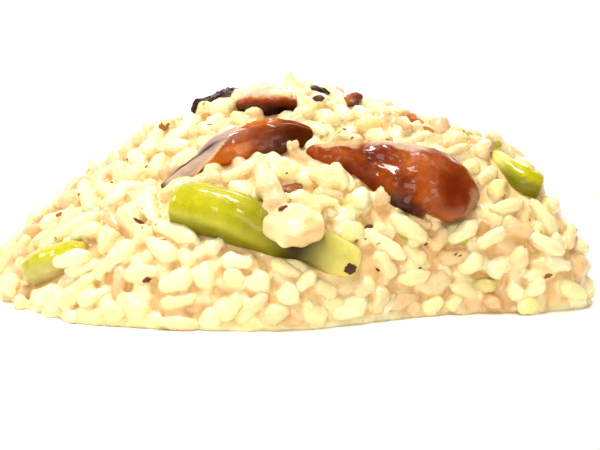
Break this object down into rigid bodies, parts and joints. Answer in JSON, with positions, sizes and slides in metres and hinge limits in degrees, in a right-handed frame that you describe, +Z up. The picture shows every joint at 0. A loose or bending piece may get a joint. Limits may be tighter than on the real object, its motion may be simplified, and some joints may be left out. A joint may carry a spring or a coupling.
{
  "type": "plate of mushroom risotto",
  "caption": "Low uneven heap of creamy cooked rice with glossy brown mushroom slices and cut green asparagus, served on a plain round plate with a low rim.",
  "frame": {"origin": "on the table under the centre of the plate's foot ring", "axes": "+Z up; +X to the diner's right; +Y away from the diner, so the side with the mushroom slices and the long asparagus faces -Y"},
  "size_m": [0.292, 0.292, 0.0565],
  "materials": {
    "porcelain": "plain white glaze",
    "rice": "cream-coloured cooked rice in a wet creamy sauce",
    "mushroom": "red-brown, wet and glossy, shading to dark brown",
    "mushroom_skin": "dark purple-brown skin, damp",
    "asparagus": "yellow-green, cooked and glossy"
  },
  "bodies": {
    "root": {"plate": "porcelain", "rice_heap": "rice", "mushroom_slice_front": "mushroom", "mushroom_slice_left": "mushroom", "mushroom_slice_crest": "mushroom", "mushroom_skin_strip": "mushroom_skin", "mushroom_strip_crest": "mushroom_skin", "mushroom_bit_crest": "mushroom", "mushroom_bit_right": "mushroom", "asparagus_front": "asparagus", "asparagus_left": "asparagus", "asparagus_right": "asparagus", "asparagus_sunk": "asparagus"}
  },
  "joints": []
}
